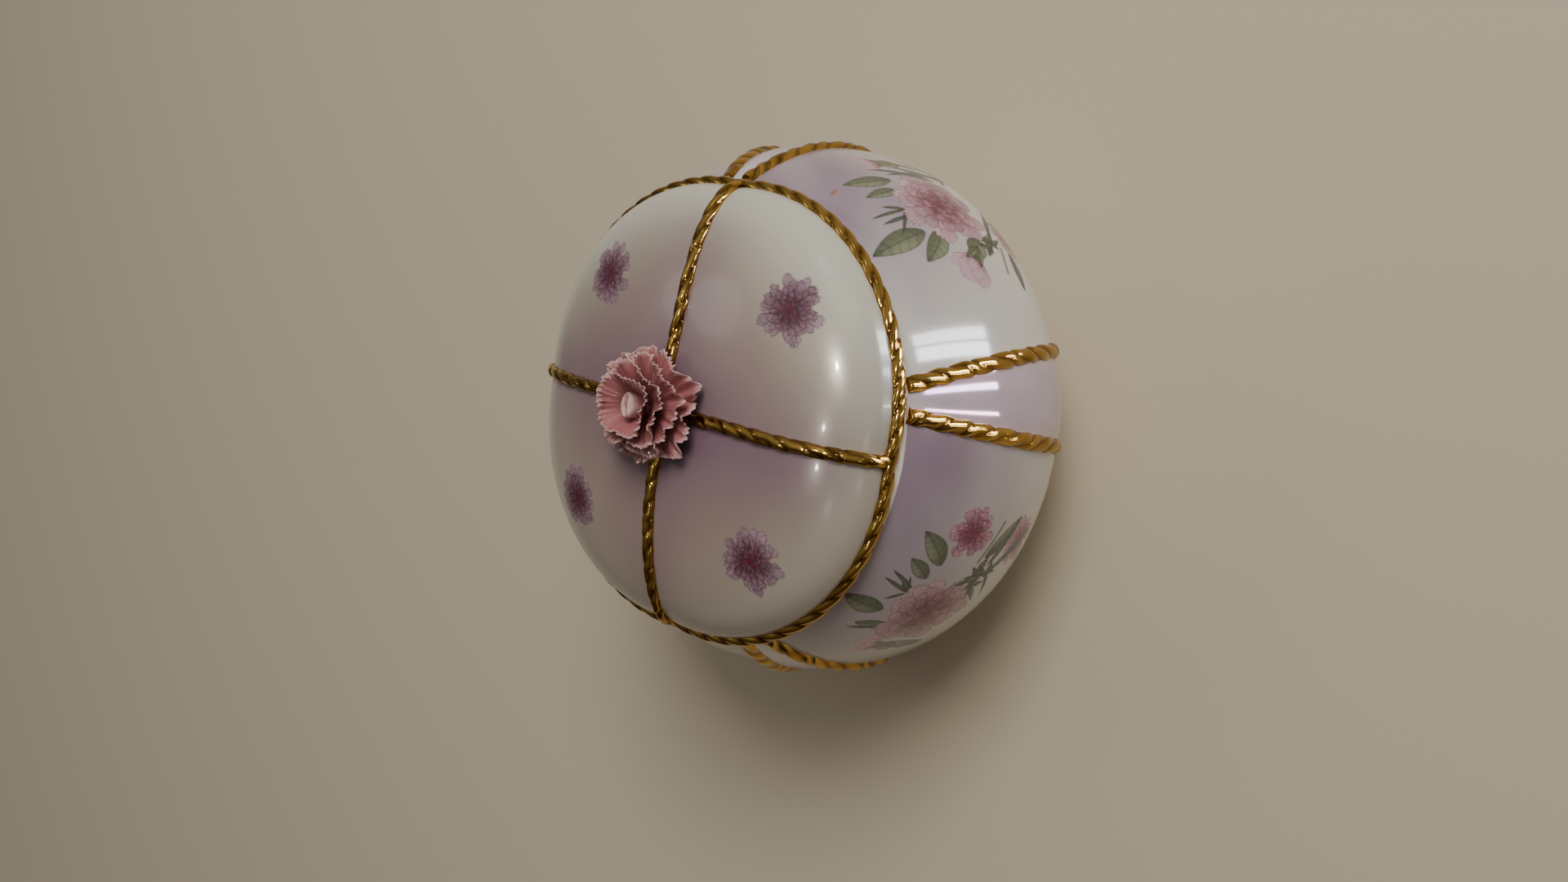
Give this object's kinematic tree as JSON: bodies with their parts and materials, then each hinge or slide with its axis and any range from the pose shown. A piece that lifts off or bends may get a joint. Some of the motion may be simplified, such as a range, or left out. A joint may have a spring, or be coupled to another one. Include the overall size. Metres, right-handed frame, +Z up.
{
  "type": "porcelain trinket box",
  "caption": "Round porcelain trinket box: ball-shaped bowl with lustre gussets and gilded twisted cords, and a loose puffed lid with a carnation knob.",
  "frame": {"origin": "centre of the foot ring, on the surface the box stands on", "axes": "+Z up along the box's centre line, -Y to the front gusset"},
  "size_m": [0.102, 0.1012, 0.0796],
  "materials": {
    "bowl_glaze": "glossy clear glaze over lilac shading and printed floral transfers, foot ring unglazed",
    "lustre_glaze": "glossy lavender mother-of-pearl lustre",
    "gilding": "bright burnished gilding over moulded twisted cord",
    "lid_glaze": "satin-gloss glaze, lilac at the crown fading to cream, one printed carnation on each lobe",
    "bare_porcelain": "unglazed white porcelain",
    "petal_glaze": "glossy dusty-pink glaze, paler at the petal edges",
    "bud_glaze": "glossy pale pink glaze"
  },
  "bodies": {
    "base": {"base_bowl": "bowl_glaze", "gusset_front": "lustre_glaze", "gusset_right": "lustre_glaze", "gusset_back": "lustre_glaze", "gusset_left": "lustre_glaze", "rope_front_left": "gilding", "rope_front_right": "gilding", "rope_right_front": "gilding", "rope_right_back": "gilding", "rope_back_right": "gilding", "rope_back_left": "gilding", "rope_left_back": "gilding", "rope_left_front": "gilding"},
    "lid_flange": {"lid_flange": "bare_porcelain"},
    "lid": {"lid_dome": "lid_glaze", "lid_rim_rope": "gilding", "lid_rope_front": "gilding", "lid_rope_right": "gilding", "lid_rope_back": "gilding", "lid_rope_left": "gilding", "carnation_calyx": "petal_glaze", "carnation_outer_petals": "petal_glaze", "carnation_middle_petals": "petal_glaze", "carnation_upper_petals": "petal_glaze", "carnation_inner_petals": "petal_glaze", "carnation_heart": "bud_glaze"}
  },
  "joints": [
    {"name": "lid_lift", "type": "slide", "parent": "base", "child": "lid_flange", "axis": [0, 0, 1], "range_m": [0, 0.06]},
    {"name": "lid_turn", "type": "hinge", "parent": "lid_flange", "child": "lid", "pos_m": [0, 0, 0.057], "axis": [0, 0, 1], "continuous": true}
  ]
}
